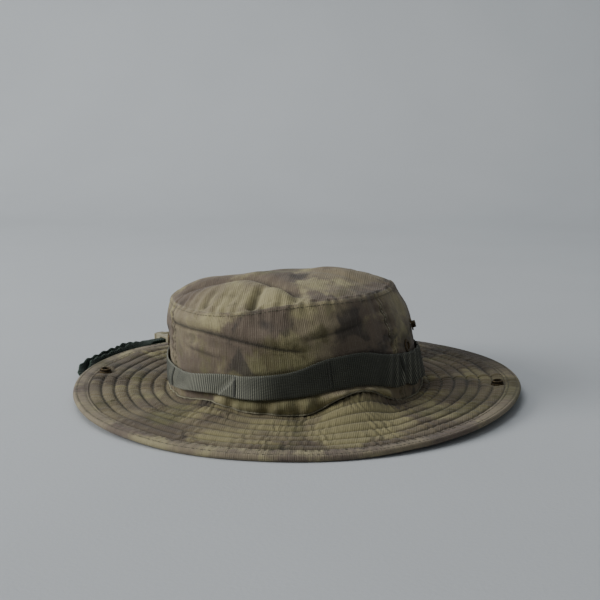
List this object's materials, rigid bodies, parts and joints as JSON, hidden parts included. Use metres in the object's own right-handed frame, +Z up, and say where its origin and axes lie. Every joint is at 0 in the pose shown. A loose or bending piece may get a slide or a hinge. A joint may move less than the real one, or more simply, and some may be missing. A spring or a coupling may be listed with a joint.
{
  "type": "boonie hat",
  "caption": "Wide-brimmed soft sun hat: panelled crown with vents and a band of webbing loops, brim sides that fold up to press studs, and a chin strap with a cord lock.",
  "frame": {"origin": "on the surface the brim rests on, under the middle of the hat without its chin strap", "axes": "+X towards the right-hand side of the hat as seen from the front, -Y towards the front, +Z up"},
  "size_m": [0.3405, 0.3753, 0.0898],
  "materials": {
    "camo_ripstop": "camouflage ripstop cotton blend",
    "binding_tape": "camouflage binding cloth",
    "stiffener_cloth": "woven interlining",
    "cotton_tape": "olive cotton twill",
    "webbing": "ribbed nylon webbing",
    "thread": "bar-tack thread",
    "dark_brass": "blackened",
    "plated_steel": "satin",
    "braid": "flat woven braid",
    "lock_plastic": "matte",
    "spring_steel": "bright"
  },
  "bodies": {
    "hat": {"crown_top_panel": "camo_ripstop", "crown_front_panel": "camo_ripstop", "crown_back_panel": "camo_ripstop", "crown_left_panel": "camo_ripstop", "crown_right_panel": "camo_ripstop", "top_seam_tape": "cotton_tape", "base_seam_tape": "cotton_tape", "sweatband": "cotton_tape", "foliage_band": "webbing", "foliage_band_tacks": "thread", "vent_eyelets": "dark_brass", "vent_washers": "plated_steel", "crown_snap_stud_left": "dark_brass", "crown_snap_stud_right": "dark_brass", "crown_snap_post_left": "plated_steel", "crown_snap_post_right": "plated_steel", "brim_upper_front": "camo_ripstop", "brim_upper_back": "camo_ripstop", "brim_stiffener_front": "stiffener_cloth", "brim_stiffener_back": "stiffener_cloth", "brim_lower_front": "camo_ripstop", "brim_lower_back": "camo_ripstop", "brim_binding_front": "binding_tape", "brim_binding_back": "binding_tape", "strap_anchor_tabs": "cotton_tape", "chin_strap": "braid"},
    "left_brim": {"brim_upper_left": "camo_ripstop", "brim_stiffener_left": "stiffener_cloth", "brim_lower_left": "camo_ripstop", "brim_binding_left": "binding_tape", "snap_socket_left": "dark_brass", "snap_cap_left": "dark_brass"},
    "right_brim": {"brim_upper_right": "camo_ripstop", "brim_stiffener_right": "stiffener_cloth", "brim_lower_right": "camo_ripstop", "brim_binding_right": "binding_tape", "snap_socket_right": "dark_brass", "snap_cap_right": "dark_brass"},
    "cord_lock": {"cord_lock_barrel": "lock_plastic", "cord_lock_spring": "spring_steel"},
    "lock_button": {"cord_lock_plunger": "lock_plastic"}
  },
  "joints": [
    {"name": "left_brim_fold", "type": "hinge", "parent": "hat", "child": "left_brim", "pos_m": [-0.101, 0, 0.0061], "axis": [0, 1, 0], "range_deg": [0, 90.7]},
    {"name": "right_brim_fold", "type": "hinge", "parent": "hat", "child": "right_brim", "pos_m": [0.101, 0, 0.0061], "axis": [0, -1, 0], "range_deg": [0, 102.9]},
    {"name": "cord_lock_slide", "type": "slide", "parent": "hat", "child": "cord_lock", "axis": [0.7071, 0.7071, 0], "range_m": [0, 0.03]},
    {"name": "lock_button_press", "type": "slide", "parent": "cord_lock", "child": "lock_button", "axis": [0.7071, -0.7071, 0], "range_m": [0, 0.0025], "stiffness_N_per_m": 800, "springref_m": -0.002, "deforming": ["cord_lock_spring"]}
  ]
}
